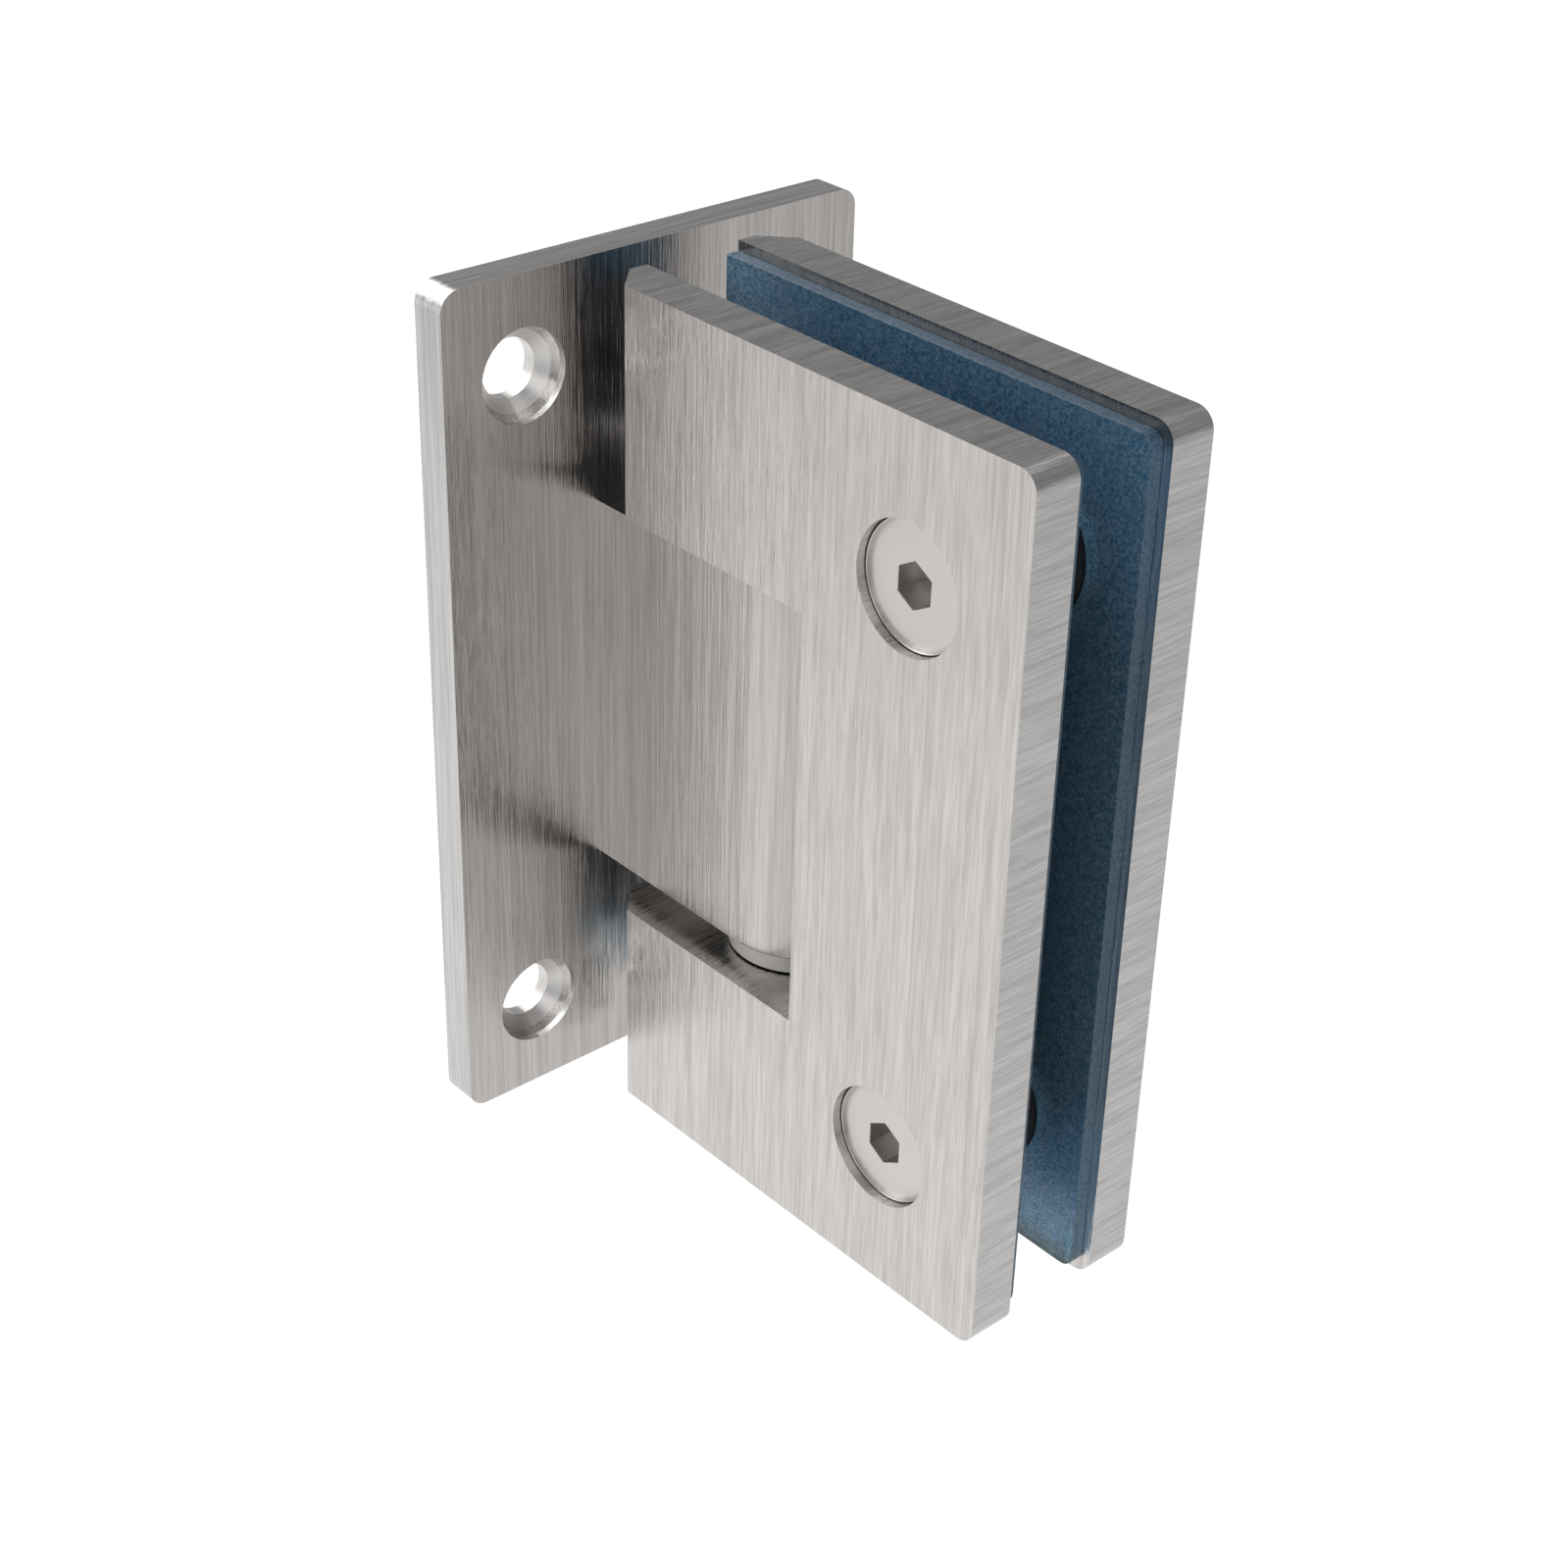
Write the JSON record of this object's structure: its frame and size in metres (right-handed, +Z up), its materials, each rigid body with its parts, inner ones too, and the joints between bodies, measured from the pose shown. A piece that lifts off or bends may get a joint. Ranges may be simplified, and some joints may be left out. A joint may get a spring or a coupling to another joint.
{
  "type": "glass door hinge",
  "caption": "Wall mounted double action hinge that clamps the edge of a frameless glass door between two plates and swings it on an upright pin.",
  "frame": {"origin": "centre of the wall plate's back face, where it meets the wall", "axes": "+X out of the wall towards the glass, +Z up along the hinge pin, +Y to the rear clamp plate"},
  "size_m": [0.064, 0.05, 0.09],
  "materials": {
    "wall_steel": "brushed up and down, edges brushed across",
    "clamp_steel": "brushed up and down, edges brushed across",
    "screw_steel": "smooth satin",
    "hard_steel": "ground",
    "block_steel": "milled and blackened",
    "spring_steel": "drawn wire",
    "black_screw": "black oxide",
    "gasket": "see-through blue, lightly frosted",
    "bush_steel": "turned, smooth satin",
    "sleeve_plastic": "matt black"
  },
  "bodies": {
    "wall_side": {"wall_plate": "wall_steel", "knuckle_block": "wall_steel", "knuckle_screws": "black_screw", "upper_bush": "bush_steel", "lower_bush": "bush_steel", "upper_spring": "spring_steel", "lower_spring": "spring_steel"},
    "detent": {"press_bar": "hard_steel"},
    "glass_clamp": {"front_clamp_plate": "clamp_steel", "rear_clamp_plate": "clamp_steel", "front_gasket": "gasket", "rear_gasket": "gasket", "upper_sleeve": "sleeve_plastic", "lower_sleeve": "sleeve_plastic", "upper_clamp_screw": "screw_steel", "lower_clamp_screw": "screw_steel", "hinge_pin": "hard_steel", "upper_pin_block": "block_steel", "lower_pin_block": "block_steel", "upper_block_screws": "black_screw", "lower_block_screws": "black_screw", "upper_pin_grub": "black_screw", "lower_pin_grub": "black_screw"}
  },
  "joints": [
    {"name": "door_swing", "type": "hinge", "parent": "wall_side", "child": "glass_clamp", "pos_m": [0.0265, 0, 0], "axis": [0, 0, 1], "range_deg": [-90, 90]},
    {"name": "detent_slide", "type": "slide", "parent": "wall_side", "child": "detent", "axis": [1, 0, 0], "range_m": [0, 0.0009], "stiffness_N_per_m": 3000, "springref_m": 0.004, "deforming": ["upper_spring", "lower_spring"]}
  ]
}
